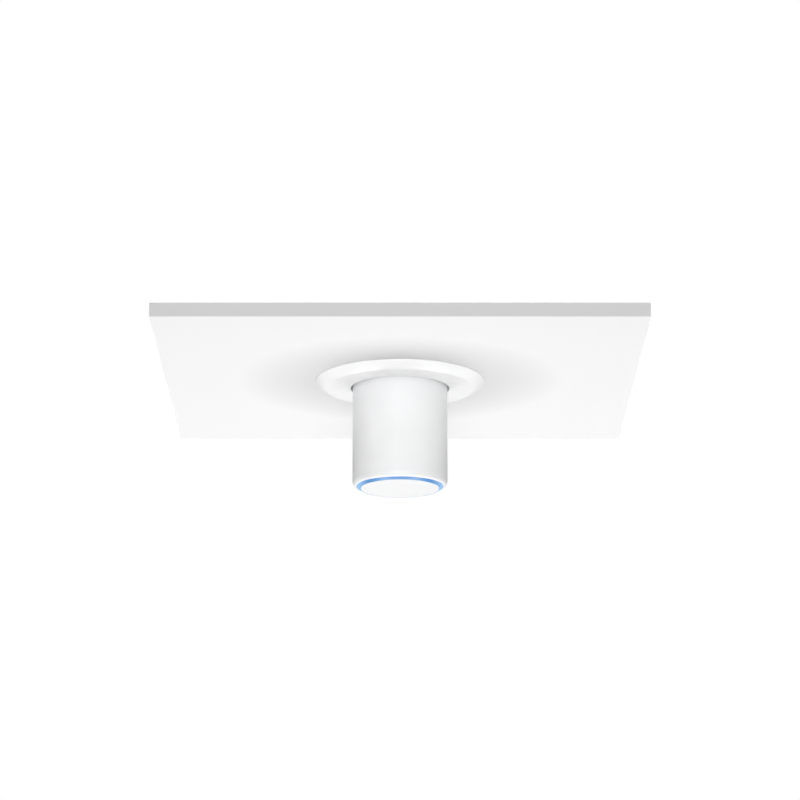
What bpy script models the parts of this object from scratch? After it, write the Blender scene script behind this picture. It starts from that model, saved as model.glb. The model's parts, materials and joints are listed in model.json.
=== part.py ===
"""Recessed ceiling access point: a cylindrical radio unit that twists into a round ceiling mount.

The origin is the centre of the cut-out, on the face of the ceiling. +Z points up into the ceiling void,
and the access point hangs down along -Z. Lengths are in millimetres; MM turns them into Blender's metres.
"""

import math

import bmesh
import bpy
from mathutils import Matrix, Vector

MM = 0.001
GAP = 0.3  # between pieces that touch
MERGE = 0.00001

# Driving sizes
CAN_RADIUS = 55.0
CAN_WALL = 2.2
CAN_TOP = 26.0  # the access point's base, up inside the recess
TRIM_RADIUS = 98.5
TRIM_FLAT_RADIUS = 84.0  # the trim ring curves up from here to its edge
TRIM_HOLE_RADIUS = 57.3
TRIM_DEPTH = 9.3  # how far the trim ring stands below the ceiling
RIM_Z = -125.7  # lower edge of the shell, where the light ring starts
CEILING_THICKNESS = 15.0
CUTOUT_RADIUS = 80.0  # hole in the ceiling, which the clamps pass through when they are folded in
SEGMENTS = 48
SMALL_SEGMENTS = 12
SEAM_DEGREES = 2.0  # where a turned profile starts, clear of the features at multiples of 30 degrees

# Ceiling mount
FLANGE_RADIUS = 90.0
FLANGE_THICKNESS = 2.4
SLEEVE_WALL = 2.4
SLEEVE_TOP = 33.0
PLATE_THICKNESS = 2.0
CABLE_HOLE_RADIUS = 27.0
CLAMP_ANGLES = (90, 210, 330)
BOSS_ANGLES = (30, 150, 270)
PLATE_SCREW_CIRCLE = 55.0

# Clamps, drawn on the +X side and turned to their angles
CLAMP_CIRCLE = 68.0
CLAMP_SCREW_RADIUS = 2.0
CLAMP_SCREW_TOP = 41.0
DOG_BOTTOM = CEILING_THICKNESS + GAP
DOG_HEIGHT = 12.0
DOG_REACH = 94.0
DOG_HALF_WIDTH = 6.4
NUT_RADIUS = 4.0
BRIDGE_BOTTOM = 37.0
BRIDGE_TOP = 39.5

# Twist lock between the mount and the access point
STUD_CIRCLE = 40.0
STUD_NECK_RADIUS = 2.0
STUD_HEAD_RADIUS = 4.0
TWIST_DEGREES = 18.0  # anticlockwise as seen from below
SLOT_PLAY = 0.4  # degrees of slot beyond a stud at rest

# Light ring and end disc
RING_OUTER = 50.2
RING_INNER = 45.7
RING_DROP = 2.6  # how far the ring's inner edge hangs below its outer edge
DISC_RADIUS = 45.3

# Electronics
BOARD_THICKNESS = 1.6
BOARD_OFFSET = 6.0  # from the middle plane to a board's inner face
BOARD_HALF_WIDTH = 34.0
BOARD_BOTTOM = -100.0
MAIN_BOARD_TOP = 12.0
RADIO_BOARD_TOP = 5.0
SINK_HALF_THICKNESS = 2.0
JACK_CENTRE_Y = 14.65
JACK_SIZE = (16.0, 13.5)
JACK_BOTTOM = 3.0
RESET_AT = (20.0, 11.5)
RESET_STEM_RADIUS = 1.6
FRAME_RADIUS = 49.5
FRAME_WALL = 1.6
ANTENNA_ANGLES = (45, 135, 225, 315)
LED_COUNT = 6

BASE_SCREW_CIRCLE = 44.0
BASE_SCREW_ANGLES = (80, 200, 320)
BOARD_SCREW_AT = ((-30, -4), (30, -4), (-30, -95), (30, -95))


def clear_scene():
    for obj in list(bpy.data.objects):
        bpy.data.objects.remove(obj)


def new_collection(name):
    collection = bpy.data.collections.new(name)
    bpy.context.scene.collection.children.link(collection)
    return collection


def make_material(name, colour, roughness, metallic=0.0, glow=0.0):
    material = bpy.data.materials.new(name)
    material.use_nodes = True
    shader = material.node_tree.nodes["Principled BSDF"]
    shader.inputs["Base Color"].default_value = (*colour, 1.0)
    shader.inputs["Roughness"].default_value = roughness
    shader.inputs["Metallic"].default_value = metallic
    if glow:
        shader.inputs["Emission Color"].default_value = (*colour, 1.0)
        shader.inputs["Emission Strength"].default_value = glow
    material.diffuse_color = (*colour, 1.0)
    return material


clear_scene()
PARTS = new_collection("ceiling_access_point")
CUTTERS = new_collection("cutters")

WHITE = make_material("white_plastic", (0.90, 0.90, 0.91), 0.40)
SLEEVE_WHITE = make_material("mount_plastic", (0.82, 0.82, 0.82), 0.55)
LIGHT = make_material("light_guide", (0.20, 0.48, 1.00), 0.30, glow=1.5)
BLACK = make_material("black_nylon", (0.03, 0.03, 0.03), 0.60)
STEEL = make_material("zinc_steel", (0.62, 0.63, 0.65), 0.35, 1.0)
SHEET = make_material("galvanised_sheet", (0.66, 0.68, 0.70), 0.40, 1.0)
BRASS = make_material("brass", (0.78, 0.60, 0.30), 0.35, 1.0)
BOARD = make_material("circuit_board", (0.02, 0.22, 0.10), 0.45)
LED_BOARD = make_material("white_board", (0.85, 0.86, 0.84), 0.50)
LED = make_material("led_package", (0.95, 0.90, 0.60), 0.30)
ALUMINIUM = make_material("aluminium", (0.75, 0.76, 0.78), 0.40, 1.0)
TIN = make_material("tinned_shield", (0.70, 0.70, 0.68), 0.30, 1.0)
PAD = make_material("thermal_pad", (0.35, 0.50, 0.62), 0.80)
CARRIER = make_material("antenna_carrier", (0.16, 0.16, 0.17), 0.60)
COAX = make_material("coax_jacket", (0.05, 0.05, 0.06), 0.50)
RUBBER = make_material("seal_rubber", (0.06, 0.06, 0.06), 0.80)


# Basic shapes


def place(name, mesh, material, collection=None):
    obj = bpy.data.objects.new(name, mesh)
    (collection or PARTS).objects.link(obj)
    if material is not None:
        mesh.materials.clear()
        mesh.materials.append(material)
    return obj


def mesh_from(bm, name):
    mesh = bpy.data.meshes.new(name)
    bm.to_mesh(mesh)
    bm.free()
    return mesh


def turned(name, profile, material, segments=SEGMENTS):
    """A profile of (radius, height) turned about Z. It runs down its outer side. One that starts off the axis
    is a closed loop, and one that starts on the axis ends on it."""
    bm = bmesh.new()
    start = math.radians(SEAM_DEGREES)
    side = Vector((math.cos(start), math.sin(start), 0)) * MM
    points = [bm.verts.new(side * radius + Vector((0, 0, z * MM))) for radius, z in profile]
    for first, second in zip(points, points[1:]):
        bm.edges.new((first, second))
    if profile[0][0] > 0:
        bm.edges.new((points[-1], points[0]))
    obj = place(name, mesh_from(bm, name), material)
    screw = obj.modifiers.new("turn", "SCREW")
    screw.steps = screw.render_steps = segments
    screw.use_merge_vertices = True
    screw.merge_threshold = MERGE
    return bake(obj)


def block(name, low, high, material, collection=None):
    bm = bmesh.new()
    bmesh.ops.create_cube(bm, size=1.0)
    low, high = Vector(low) * MM, Vector(high) * MM
    bmesh.ops.scale(bm, vec=high - low, verts=bm.verts)
    bmesh.ops.translate(bm, vec=(low + high) / 2, verts=bm.verts)
    return place(name, mesh_from(bm, name), material, collection)


def rod(name, radius, start, end, material, collection=None, segments=16):
    """A cylinder from one point to another."""
    start, end = Vector(start) * MM, Vector(end) * MM
    along = end - start
    bm = bmesh.new()
    bmesh.ops.create_cone(
        bm, cap_ends=True, segments=segments, radius1=radius * MM, radius2=radius * MM, depth=along.length
    )
    turn = along.to_track_quat("Z", "Y").to_matrix().to_4x4()
    bmesh.ops.transform(bm, matrix=Matrix.Translation((start + end) / 2) @ turn, verts=bm.verts)
    return place(name, mesh_from(bm, name), material, collection)


def flat(name, outline, low, high, material, collection=None):
    """A flat outline in X and Y, as thick as from low to high along Z."""
    curve = bpy.data.curves.new(name, "CURVE")
    curve.dimensions = "2D"
    curve.fill_mode = "BOTH"
    curve.extrude = (high - low) / 2 * MM
    spline = curve.splines.new("POLY")
    spline.points.add(len(outline) - 1)
    for point, (x, y) in zip(spline.points, outline):
        point.co = (x * MM, y * MM, 0, 1)
    spline.use_cyclic_u = True
    sketch = bpy.data.objects.new(name + "_sketch", curve)
    PARTS.objects.link(sketch)
    mesh = evaluated_mesh(sketch)
    bpy.data.objects.remove(sketch)
    bm = bmesh.new()
    bm.from_mesh(mesh)
    bmesh.ops.remove_doubles(bm, verts=bm.verts, dist=MERGE)
    bmesh.ops.recalc_face_normals(bm, faces=bm.faces)
    bmesh.ops.translate(bm, vec=(0, 0, (low + high) / 2 * MM), verts=bm.verts)
    bm.to_mesh(mesh)
    bm.free()
    return place(name, mesh, material, collection)


def evaluated_mesh(obj):
    bpy.context.view_layer.update()
    graph = bpy.context.evaluated_depsgraph_get()
    return bpy.data.meshes.new_from_object(obj.evaluated_get(graph))


def bake(obj):
    """The object with its modifiers applied and its round faces smooth."""
    mesh = evaluated_mesh(obj)
    obj.modifiers.clear()
    obj.data = mesh
    mesh.shade_smooth()
    mesh.set_sharp_from_angle(angle=math.radians(32))
    return obj


def combine(obj, other, operation):
    tool = obj.modifiers.new(operation.lower(), "BOOLEAN")
    tool.operation = operation
    tool.object = other
    bake(obj)
    bpy.data.objects.remove(other)


def cut(obj, *cutters):
    for cutter in cutters:
        combine(obj, cutter, "DIFFERENCE")
    return obj


def join(obj, *others):
    for other in others:
        combine(obj, other, "UNION")
    return obj


def turn_to(obj, degrees):
    """The object's mesh turned about the Z axis."""
    obj.data.transform(Matrix.Rotation(math.radians(degrees), 4, "Z"))
    return obj


def tip_up(obj):
    """Stands a flat outline up, so that its Y becomes Z and its thickness lies along Y, about Y = 0."""
    obj.data.transform(Matrix.Rotation(math.radians(90), 4, "X"))
    return obj


def copies(obj, name, angles, first=0):
    """The object and its copies about the Z axis, each an object of its own that shares the mesh."""
    made = []
    for number, angle in enumerate(angles, 1):
        copy = bpy.data.objects.new(f"{name}_{number}", obj.data)
        PARTS.objects.link(copy)
        copy.rotation_euler.z = math.radians(angle - first)
        made.append(copy)
    bpy.data.objects.remove(obj)
    return made


def on_circle(radius, degrees):
    angle = math.radians(degrees)
    return radius * math.cos(angle), radius * math.sin(angle)


def arc(centre, radius, start, end, steps):
    """Points on an arc, both ends included."""
    points = []
    for step in range(steps + 1):
        x, y = on_circle(radius, start + (end - start) * step / steps)
        points.append((centre[0] + x, centre[1] + y))
    return points


def cutter_rod(radius, at, low, high, segments=16):
    return rod("cutter", radius, (*at, low), (*at, high), None, CUTTERS, segments)


def drill(obj, radius, at, low, high):
    """A small hole along Z."""
    return cut(obj, cutter_rod(radius, at, low, high, SMALL_SEGMENTS))


def cutter_block(low, high):
    return block("cutter", low, high, None, CUTTERS)


# Ceiling mount


def gusset_outline(root):
    """Outline of a stiffening web in radius and height, from inside the sleeve wall."""
    return [(root, -1), (74, -1), (74, 2), (62, 22), (root, 22)]


def make_mount_base():
    sleeve_outer = TRIM_HOLE_RADIUS + SLEEVE_WALL
    wall_middle = TRIM_HOLE_RADIUS + SLEEVE_WALL / 2
    base = turned(
        "mount_base",
        [
            (FLANGE_RADIUS, 0),
            (FLANGE_RADIUS, -FLANGE_THICKNESS),
            (TRIM_HOLE_RADIUS, -FLANGE_THICKNESS),
            (TRIM_HOLE_RADIUS, SLEEVE_TOP),
            (sleeve_outer, SLEEVE_TOP),
            (sleeve_outer, 0),
        ],
        SLEEVE_WHITE,
    )
    for angle in BOSS_ANGLES:
        at = on_circle(PLATE_SCREW_CIRCLE, angle)
        join(base, rod("boss", 3.4, (*at, 27.5), (*at, SLEEVE_TOP - 0.2), None, segments=SMALL_SEGMENTS))
        drill(base, 1.55, at, 28.0, SLEEVE_TOP + 5)
    for angle in CLAMP_ANGLES:
        rib = block(
            "rib", (wall_middle, DOG_HALF_WIDTH + 0.4, -1), (77, DOG_HALF_WIDTH + 2.8, BRIDGE_TOP - 0.1), None
        )
        bridge = block("bridge", (63.5, -4.5, BRIDGE_BOTTOM), (76, DOG_HALF_WIDTH + 1.8, BRIDGE_TOP), None)
        join(base, turn_to(rib, angle), turn_to(bridge, angle))
        drill(base, CLAMP_SCREW_RADIUS + GAP, on_circle(CLAMP_CIRCLE, angle), -10, 50)
        for offset in (20, 60, -40):
            web = tip_up(flat("web", gusset_outline(wall_middle), -1, 1, None))
            join(base, turn_to(web, angle + offset))
    for angle in range(0, 360, 60):
        cut(base, turn_to(cutter_block((74.9, -4.1, -10), (77.9, 4.1, 10)), angle))
    return base


def dome_height(radius):
    """Height of the trim ring's visible face, which curves up from its flat middle to its thin edge."""
    start, edge = TRIM_FLAT_RADIUS, TRIM_RADIUS
    share = min(1.0, max(0.0, (edge - radius) / (edge - start)))
    return -1.2 - (TRIM_DEPTH - 1.2) * math.sin(math.pi / 2 * share)


def make_trim_ring():
    wall = 1.3
    steps = 5
    radii = [TRIM_RADIUS + (TRIM_FLAT_RADIUS - TRIM_RADIUS) * step / steps for step in range(steps + 1)]
    face = [(radius, dome_height(radius)) for radius in radii]
    back = [(radius, dome_height(radius) + wall) for radius in reversed(radii[1:])]
    lip = [(TRIM_HOLE_RADIUS + 0.8, -TRIM_DEPTH), (TRIM_HOLE_RADIUS, 0.8 - TRIM_DEPTH)]
    inner_wall = [
        (TRIM_HOLE_RADIUS, -FLANGE_THICKNESS - GAP),
        (TRIM_HOLE_RADIUS + 1.4, -FLANGE_THICKNESS - GAP),
        (TRIM_HOLE_RADIUS + 1.4, wall - TRIM_DEPTH),
    ]
    ring = turned(
        "trim_ring", [(TRIM_RADIUS, -0.1), *face, *lip, *inner_wall, *back, (TRIM_RADIUS - 1.6, -0.1)], WHITE
    )
    for angle in range(0, 360, 60):
        hook = block("hook", (75.2, -3.7, 0.7 - TRIM_DEPTH), (76.8, 3.7, 2.0), None)
        barb = block("barb", (76.0, -3.6, 0.4), (77.6, 3.6, 1.9), None)
        join(hook, barb)
        join(ring, turn_to(hook, angle))
    return ring


def make_bayonet_plate():
    low = SLEEVE_TOP + GAP
    high = low + PLATE_THICKNESS
    edge = TRIM_HOLE_RADIUS + 0.9
    plate = turned(
        "bayonet_plate",
        [
            (edge, high),
            (edge, low),
            (CABLE_HOLE_RADIUS, low),
            (CABLE_HOLE_RADIUS, high + 2.5),
            (CABLE_HOLE_RADIUS + 1.6, high + 2.5),
            (CABLE_HOLE_RADIUS + 1.6, high),
        ],
        SHEET,
    )
    for angle in BOSS_ANGLES:
        drill(plate, 1.6, on_circle(PLATE_SCREW_CIRCLE, angle), low - 5, high + 5)
        drill(plate, STUD_NECK_RADIUS + GAP, on_circle(STUD_CIRCLE, angle), low - 5, high + 5)
    return plate


def make_bayonet_studs():
    """Riveted studs with mushroom heads, which the slots in the access point's base hook over."""
    plate_low = SLEEVE_TOP + GAP
    plate_high = plate_low + PLATE_THICKNESS
    cap_underside = CAN_TOP - 2.5
    neck = STUD_NECK_RADIUS
    stud = turned(
        "stud",
        [
            (0, plate_high + GAP + 1.4),
            (4.0, plate_high + GAP + 1.4),
            (4.2, plate_high + GAP),
            (neck, plate_high + GAP),
            (neck, plate_low - GAP),
            (3.2, plate_low - GAP),
            (3.2, CAN_TOP + GAP),
            (neck, CAN_TOP + GAP),
            (neck, cap_underside - GAP),
            (STUD_HEAD_RADIUS, cap_underside - GAP),
            (STUD_HEAD_RADIUS, cap_underside - GAP - 1.8),
            (0, cap_underside - GAP - 1.8),
        ],
        STEEL,
        segments=SMALL_SEGMENTS,
    )
    stud.data.transform(Matrix.Translation((STUD_CIRCLE * MM, 0, 0)))
    return copies(stud, "bayonet_stud", BOSS_ANGLES)


def make_screw(name, head_radius, head_height, shaft_radius, length, drive_radius=1.3):
    """A pan-head screw along Z, its head's underside at the origin and its shaft hanging below it."""
    screw = turned(
        name,
        [
            (0, head_height),
            (head_radius - 0.7, head_height),
            (head_radius, head_height - 0.8),
            (head_radius, 0),
            (shaft_radius, 0),
            (shaft_radius, 0.6 - length),
            (shaft_radius - 0.5, -length),
            (0, -length),
        ],
        STEEL,
        segments=SMALL_SEGMENTS,
    )
    return cut(screw, cutter_rod(drive_radius, (0, 0), head_height / 2, head_height + 2, 6))


def make_plate_screws():
    screw = make_screw("plate_screw", 2.8, 2.0, 1.25, 7.0)
    head_seat = SLEEVE_TOP + 2 * GAP + PLATE_THICKNESS
    screw.data.transform(Matrix.Translation((PLATE_SCREW_CIRCLE * MM, 0, head_seat * MM)))
    return copies(screw, "plate_screw", BOSS_ANGLES)


# Clamps that pull the flange against the ceiling


def make_clamp_screws():
    head_seat = -FLANGE_THICKNESS - GAP
    screw = make_screw("clamp_screw", 4.0, 2.0, CLAMP_SCREW_RADIUS, CLAMP_SCREW_TOP - head_seat, 1.8)
    upside_down = Matrix.Rotation(math.pi, 4, "X")
    screw.data.transform(Matrix.Translation((CLAMP_CIRCLE * MM, 0, head_seat * MM)) @ upside_down)
    return copies(screw, "clamp_screw", CLAMP_ANGLES)


def make_clamp_nuts():
    """Flanged threaded bushes, which sit on the dogs' hubs and run along the screws."""
    bore = CLAMP_SCREW_RADIUS + GAP
    seat = DOG_BOTTOM + DOG_HEIGHT + GAP
    nut = turned(
        "nut",
        [
            (5.6, seat + 1.6),
            (5.6, seat),
            (NUT_RADIUS, seat),
            (NUT_RADIUS, DOG_BOTTOM + 1.2),
            (bore, DOG_BOTTOM + 1.2),
            (bore, seat + 1.6),
        ],
        BRASS,
        segments=16,
    )
    nut.data.transform(Matrix.Translation((CLAMP_CIRCLE * MM, 0, 0)))
    return copies(nut, "clamp_nut", CLAMP_ANGLES)


def make_clamp_dogs():
    top = DOG_BOTTOM + DOG_HEIGHT
    side = [
        (CLAMP_CIRCLE, DOG_BOTTOM),
        (DOG_REACH, DOG_BOTTOM),
        (DOG_REACH, DOG_BOTTOM + 3.6),
        (CLAMP_CIRCLE + 9, top - 2),
        (CLAMP_CIRCLE, top - 2),
    ]
    dog = tip_up(flat("dog", side, -DOG_HALF_WIDTH, DOG_HALF_WIDTH, BLACK))
    hub_radius = DOG_HALF_WIDTH + 0.02
    hub_ends = (CLAMP_CIRCLE, 0, DOG_BOTTOM), (CLAMP_CIRCLE, 0, top)
    join(dog, rod("hub", hub_radius, *hub_ends, None, segments=32))
    cut(dog, cutter_rod(NUT_RADIUS + GAP, (CLAMP_CIRCLE, 0), 0, 50))
    for side_y in (-DOG_HALF_WIDTH, DOG_HALF_WIDTH):
        pocket = cutter_block((CLAMP_CIRCLE + 9, side_y - 3.2, DOG_BOTTOM + 2), (87, side_y + 3.2, top + 5))
        cut(dog, pocket)
    return copies(dog, "clamp_dog", CLAMP_ANGLES)


# Access point: casing


def make_outer_shell():
    inner = CAN_RADIUS - CAN_WALL
    lip = RING_OUTER + GAP
    round_height = 7.4
    corner = []
    for x, y in arc((0, 0), 1.0, 0, -90, 6):
        corner.append((lip + (CAN_RADIUS - lip) * x, RIM_Z + round_height + round_height * y))
    profile = [
        (CAN_RADIUS, CAN_TOP - 4),
        *corner,
        (lip, RIM_Z + 2.7),
        (inner, RIM_Z + 2.7),
        (inner, CAN_TOP - 4),
    ]
    return turned("outer_shell", profile, WHITE)


def slot_outline(start, end, half_width):
    """Outline of a curved slot on the stud circle, with round ends, from one angle to another."""
    outer = arc((0, 0), STUD_CIRCLE + half_width, start, end, 4)
    end_cap = arc(on_circle(STUD_CIRCLE, end), half_width, end, end + 180, 4)
    inner = arc((0, 0), STUD_CIRCLE - half_width, end, start, 4)
    start_cap = arc(on_circle(STUD_CIRCLE, start), half_width, start + 180, start + 360, 4)
    return [*outer, *end_cap[1:-1], *inner, *start_cap[1:-1]]


def make_base_cap():
    inner = CAN_RADIUS - CAN_WALL
    skirt = inner - 0.4
    groove = skirt - 1.3
    underside = CAN_TOP - 2.5
    cap = turned(
        "base_cap",
        [
            (0, CAN_TOP),
            (CAN_RADIUS - 0.8, CAN_TOP),
            (CAN_RADIUS, CAN_TOP - 0.8),
            (CAN_RADIUS, CAN_TOP - 3.7),
            (skirt, CAN_TOP - 3.7),
            (skirt, 19.2),
            (groove, 19.2),
            (groove, 17.0),
            (skirt, 17.0),
            (skirt, 14.0),
            (skirt - 2.2, 14.0),
            (skirt - 2.2, underside),
            (0, underside),
        ],
        WHITE,
    )
    for angle in BASE_SCREW_ANGLES:
        at = on_circle(BASE_SCREW_CIRCLE, angle)
        join(cap, rod("post", 3.8, (*at, 14.2), (*at, underside + 1), None, segments=SMALL_SEGMENTS))
        drill(cap, 1.7, at, 5, 40)
        drill(cap, 3.3, at, CAN_TOP - 2.2, 40)
    for angle in BOSS_ANGLES:
        outline = slot_outline(angle - SLOT_PLAY, angle + TWIST_DEGREES, STUD_NECK_RADIUS + GAP)
        cut(cap, flat("cutter", outline, underside - 4, CAN_TOP + 4, None, CUTTERS))
        wide_end = on_circle(STUD_CIRCLE, angle + TWIST_DEGREES)
        cut(cap, cutter_rod(STUD_HEAD_RADIUS + 0.5, wide_end, underside - 4, CAN_TOP + 4))
    half_x, half_y = JACK_SIZE[0] / 2 + GAP, JACK_SIZE[1] / 2 + GAP
    window = cutter_block((-half_x, JACK_CENTRE_Y - half_y, 20), (half_x, JACK_CENTRE_Y + half_y, 40))
    return drill(cut(cap, window), RESET_STEM_RADIUS + GAP, RESET_AT, 20, 40)


def make_seal_ring():
    """An O-ring in the base cap's groove."""
    profile = [(51.95 + 0.55 * x, 18.1 + 0.55 * y) for x, y in arc((0, 0), 1.0, 0, -300, 5)]
    return turned("seal_ring", profile, RUBBER, segments=40)


def make_light_ring():
    seat = RIM_Z + 2.7 + GAP
    board_underside = -117.0
    return turned(
        "light_ring",
        [
            (52.4, board_underside - GAP),
            (52.4, seat),
            (RING_OUTER, seat),
            (RING_OUTER, RIM_Z + 0.05),
            (RING_INNER, RIM_Z - RING_DROP),
            (RING_INNER, board_underside - 1.6),
            (RING_OUTER - 0.1, board_underside - 1.6),
            (RING_OUTER - 0.1, board_underside - GAP),
        ],
        LIGHT,
    )


def make_end_disc():
    face = RIM_Z - RING_DROP
    return turned(
        "end_disc",
        [
            (0, face + 2.2),
            (DISC_RADIUS - 2.0, face + 2.2),
            (DISC_RADIUS - 2.0, face + 6.4),
            (DISC_RADIUS, face + 6.4),
            (DISC_RADIUS, face + 0.7),
            (DISC_RADIUS - 0.3, face + 0.2),
            (DISC_RADIUS - 0.9, face - 0.05),
            (DISC_RADIUS - 8, face - 0.35),
            (DISC_RADIUS / 2, face - 0.65),
            (0, face - 0.75),
        ],
        WHITE,
    )


def make_base_screws():
    screw = make_screw("base_screw", 2.9, 1.9, 1.4, 17.5)
    head_seat = CAN_TOP - 2.2 + GAP
    screw.data.transform(Matrix.Translation((BASE_SCREW_CIRCLE * MM, 0, head_seat * MM)))
    return copies(screw, "base_screw", BASE_SCREW_ANGLES)


# Access point: lights


def make_led_board():
    profile = [(50.4, -115.4), (50.4, -117.0), (34.0, -117.0), (34.0, -115.4)]
    return turned("led_board", profile, LED_BOARD, segments=32)


def make_leds():
    led = block("led", (47.4, -1.5, -118.2), (49.9, 1.5, -117.3), LED)
    return copies(led, "led", [360 / LED_COUNT * number for number in range(LED_COUNT)])


# Access point: electronics


def make_heat_sink():
    top = 10.0
    sink = block("heat_sink", (-45, -SINK_HALF_THICKNESS, -104), (45, SINK_HALF_THICKNESS, top), ALUMINIUM)
    for side in (-1, 1):
        for x in (38.0, 41.2, 44.4):
            join(sink, block("fin", (side * x - 0.6, -10, -103), (side * x + 0.6, 10, top - 1), None))
    for x, z in BOARD_SCREW_AT:
        reach = BOARD_OFFSET - GAP
        join(sink, rod("post", 3.6, (x, -reach, z), (x, reach, z), None, segments=SMALL_SEGMENTS))
        cut(sink, rod("cutter", 1.8, (x, -20, z), (x, 20, z), None, CUTTERS, SMALL_SEGMENTS))
    return sink


def make_board(name, side, top):
    """A circuit board on one side of the heat sink, with holes for its screws."""
    faces = sorted((side * BOARD_OFFSET, side * (BOARD_OFFSET + BOARD_THICKNESS)))
    low = (-BOARD_HALF_WIDTH, faces[0], BOARD_BOTTOM)
    board = block(name, low, (BOARD_HALF_WIDTH, faces[1], top), BOARD)
    for x, z in BOARD_SCREW_AT:
        cut(board, rod("cutter", 1.8, (x, -20, z), (x, 20, z), None, CUTTERS, SMALL_SEGMENTS))
    return board


def make_board_screws():
    made = []
    screw = make_screw("board_screw", 3.0, 1.8, 1.5, 17.5, 1.2)
    screw.data.transform(Matrix.Rotation(math.radians(-90), 4, "X"))
    for number, (x, z) in enumerate(BOARD_SCREW_AT, 1):
        copy = bpy.data.objects.new(f"board_screw_{number}", screw.data)
        PARTS.objects.link(copy)
        copy.location = Vector((x, BOARD_OFFSET + BOARD_THICKNESS + GAP, z)) * MM
        made.append(copy)
    bpy.data.objects.remove(screw)
    return made


def make_shielding(number, side):
    """A tinned shield can soldered to a board, and the thermal pad between it and the heat sink."""
    can = sorted((side * 3.6, side * (BOARD_OFFSET - GAP)))
    pad = sorted((side * (SINK_HALF_THICKNESS + GAP), side * 3.3))
    shield = block(f"shield_can_{number}", (-22, can[0], -72), (22, can[1], -22), TIN)
    bevel = shield.modifiers.new("edges", "BEVEL")
    bevel.width = 0.6 * MM
    bevel.segments = 1
    bake(shield)
    block(f"thermal_pad_{number}", (-18, pad[0], -66), (18, pad[1], -28), PAD)
    return shield


def make_rj45_jack():
    half_x, half_y = JACK_SIZE[0] / 2, JACK_SIZE[1] / 2
    low = (-half_x, JACK_CENTRE_Y - half_y, JACK_BOTTOM)
    jack = block("rj45_jack", low, (half_x, JACK_CENTRE_Y + half_y, CAN_TOP - GAP), TIN)
    cavity = cutter_block((-5.9, 10.4, CAN_TOP - 13.6), (5.9, 17.6, 40))
    latch_way = cutter_block((-3.2, 17.0, CAN_TOP - 13.0), (3.2, 19.8, 40))
    return cut(jack, cavity, latch_way)


def make_jack_contacts():
    """Eight gold contact springs on one carrier, at the back of the jack's cavity."""
    floor = CAN_TOP - 13.6 + GAP
    contacts = block("jack_contacts", (-4.7, 10.8, floor), (4.7, 11.9, floor + 1.0), BRASS)
    for number in range(8):
        x = (number - 3.5) * 1.16
        join(contacts, block("contact", (x - 0.25, 10.9, floor + 0.5), (x + 0.25, 11.4, floor + 8), None))
    return contacts


def make_transformer():
    low = (-8, BOARD_OFFSET + BOARD_THICKNESS + GAP, -18)
    return block("ethernet_transformer", low, (8, low[1] + 6.4, -2), BLACK)


def make_reset():
    """A switch on the main board with a long sprung stem, which a pin pushes through the base cap."""
    x, y = RESET_AT
    switch = block("reset_switch", (x - 3, y - 3.6, 3), (x + 3, y + 3.4, 9), BLACK)
    drill(switch, RESET_STEM_RADIUS + GAP, RESET_AT, 6.0, 20)
    stem = turned(
        "reset_button",
        [
            (0, CAN_TOP - 0.5),
            (RESET_STEM_RADIUS, CAN_TOP - 0.5),
            (RESET_STEM_RADIUS, 22.6),
            (3.0, 22.6),
            (3.0, 21.2),
            (RESET_STEM_RADIUS, 21.2),
            (RESET_STEM_RADIUS, 7.0),
            (0, 7.0),
        ],
        CARRIER,
        segments=SMALL_SEGMENTS,
    )
    stem.location = Vector((x, y, 0)) * MM


# Access point: antennas


def antenna_outline():
    """A stamped dual-band antenna in width and height: a foot, a tall arm and a short arm."""
    return [(-9, -24), (9, -24), (9, -18), (-4, -18), (-4, -6), (9, -6), (9, 16), (4, 16), (4, -2), (-9, -2)]


def make_antennas():
    plate = flat("antenna", antenna_outline(), 0, 0.5, BRASS)
    stand = Matrix.Translation((50.2 * MM, 0, -50 * MM)) @ Matrix(
        ((0, 0, 1, 0), (1, 0, 0, 0), (0, 1, 0, 0), (0, 0, 0, 1))
    )
    plate.data.transform(stand)
    return copies(plate, "antenna", ANTENNA_ANGLES)


def make_antenna_frame():
    inner = FRAME_RADIUS - FRAME_WALL
    profile = [(FRAME_RADIUS, 8), (FRAME_RADIUS, -115.1), (inner, -115.1), (inner, 8)]
    frame = turned("antenna_frame", profile, CARRIER, segments=40)
    for angle in (0, 90, 180, 270):
        cut(frame, turn_to(cutter_block((40, -14, -95), (60, 14, -12)), angle))
    for angle in ANTENNA_ANGLES:
        hole = rod("cutter", 1.3, (40, -6.5, -59), (60, -6.5, -59), None, CUTTERS, SMALL_SEGMENTS)
        cut(frame, turn_to(hole, angle))
    for angle in BASE_SCREW_ANGLES:
        at = on_circle(BASE_SCREW_CIRCLE + 0.9, angle)
        join(frame, rod("boss", 4.0, (*at, 2.0), (*at, 13.7), None, segments=SMALL_SEGMENTS))
        drill(frame, 1.7, on_circle(BASE_SCREW_CIRCLE, angle), 4.0, 30)
    return frame


def smooth_route(points, steps):
    """Points on a Catmull-Rom curve through the given points."""
    ends = [points[0] * 2 - points[1], *points, points[-1] * 2 - points[-2]]
    route = []
    for before, start, end, after in zip(ends, ends[1:], ends[2:], ends[3:]):
        for step in range(steps):
            t = step / steps
            bend = (before * 2 - start * 5 + end * 4 - after) * t * t
            twist = (start * 3 - before - end * 3 + after) * t * t * t
            route.append((start * 2 + (end - before) * t + bend + twist) / 2)
    return [*route, points[-1]]


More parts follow.
